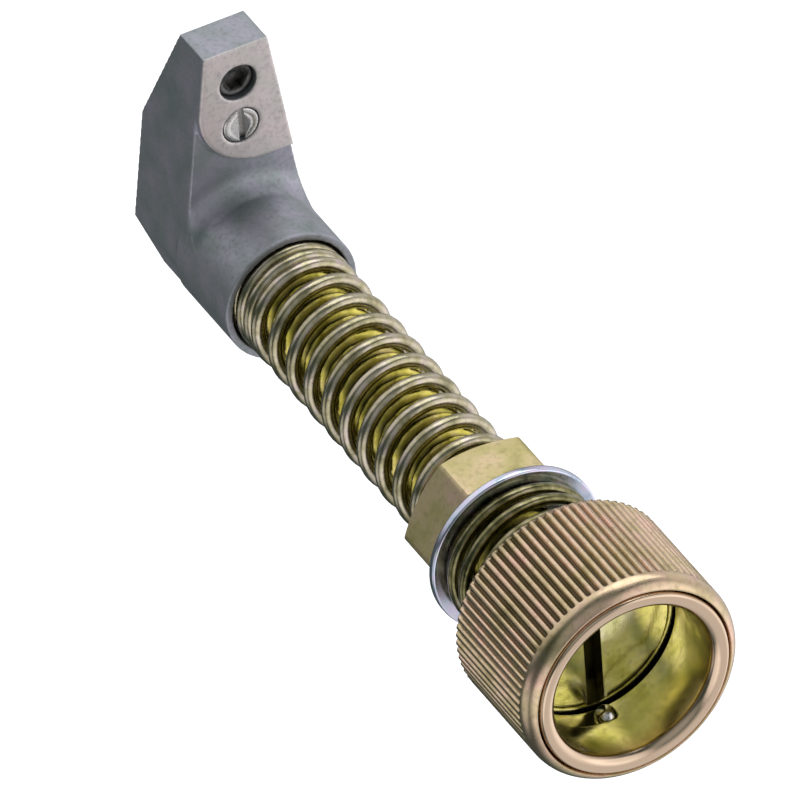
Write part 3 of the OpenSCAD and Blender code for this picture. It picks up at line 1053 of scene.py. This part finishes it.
def pale_floor():
    size, z, fibre_scale = 8.0, -0.3, 300.0
    corners = [(-size, -size, z), (size, -size, z), (size, size, z), (-size, size, z)]
    mesh = bpy.data.meshes.new("floor")
    mesh.from_pydata(corners, [], [[0, 1, 2, 3]])
    floor = bpy.data.objects.new("floor", mesh)
    bpy.context.scene.collection.objects.link(floor)
    floor.visible_glossy = False
    material, tree, shader, place = fresh_material("white_paper", metallic=0.0)
    shader.inputs["Roughness"].default_value = 0.9
    fibre = add(tree, "ShaderNodeTexNoise", {"Vector": place, "Scale": fibre_scale})
    tint = add(tree, "ShaderNodeValToRGB", {"Fac": fibre}, stops=[(0.3, "#F7F7F7"), (0.7, "#FCFCFC")])
    tree.links.new(tint.outputs[0], shader.inputs["Base Color"])
    mesh.materials.append(material)


def soft_box(name, toward, distance, size, watts, mirrored=True):
    """A rectangular lamp aimed at the object's middle. One that isn't mirrored lights only the floor,
    because every surface of the object is metal."""
    data = bpy.data.lights.new(name, "AREA")
    data.shape = "RECTANGLE"
    data.size, data.size_y = size
    data.energy = watts
    light = bpy.data.objects.new(name, data)
    bpy.context.scene.collection.objects.link(light)
    middle = Vector((0.055, 0, 0.005))
    toward = Vector(toward).normalized()
    light.location = middle + toward * distance
    light.rotation_euler = (-toward).to_track_quat("-Z", "Y").to_euler()
    light.visible_camera = False
    light.visible_glossy = mirrored


def studio_world(glows, dim):
    """A dim greenish room with white glows: a direction, where it starts and is full, its strength."""
    world = bpy.data.worlds.new("studio")
    bpy.context.scene.world = world
    world.use_nodes = True
    tree = world.node_tree
    place = add(tree, "ShaderNodeTexCoord").outputs["Generated"]
    total = dim
    for direction, start, full, strength in glows:
        lean = add(
            tree,
            "ShaderNodeVectorMath",
            {0: place, 1: Vector(direction).normalized()},
            operation="DOT_PRODUCT",
        )
        glow = add(
            tree,
            "ShaderNodeMapRange",
            {"Value": lean.outputs["Value"], "From Min": start, "From Max": full, "To Max": strength},
            interpolation_type="SMOOTHSTEP",
        )
        total = add(tree, "ShaderNodeMath", {0: glow, 1: total})
    tint = add(tree, "ShaderNodeValToRGB", {"Fac": total}, stops=[(0.1, "#D2EAE6"), (0.6, "#F8F6FA")])
    background = tree.nodes["Background"]
    tree.links.new(tint.outputs[0], background.inputs["Color"])
    tree.links.new(total.outputs[0], background.inputs["Strength"])


pale_floor()
studio_world(
    [
        ((0.6, -0.45, 0.66), 0.5, 0.95, 0.36),
        ((0.7, 0.33, 0.63), 0.62, 0.96, 0.9),
        ((-0.62, -0.42, -0.66), 0.35, 0.9, 0.85),
        ((0.1, -1.0, -0.15), 0.5, 0.95, 0.8),
        ((0.2, 0.88, -0.42), 0.88, 0.98, 0.8),
        ((-0.7, -0.62, 0.36), 0.82, 0.97, 1.2),
        ((-0.7, 0.62, -0.36), 0.86, 0.98, 1.2),
        ((-0.7, 0.34, 0.63), 0.75, 0.98, 0.4),
    ],
    0.11,
)
soft_box("overhead", (0.3, -0.5, 1.0), 1.2, (0.9, 0.9), 4.5)
soft_box("floor_wash", (0.0, 0.0, 1.0), 1.5, (2.0, 2.0), 28, mirrored=False)
bpy.context.scene.view_settings.view_transform = "Standard"
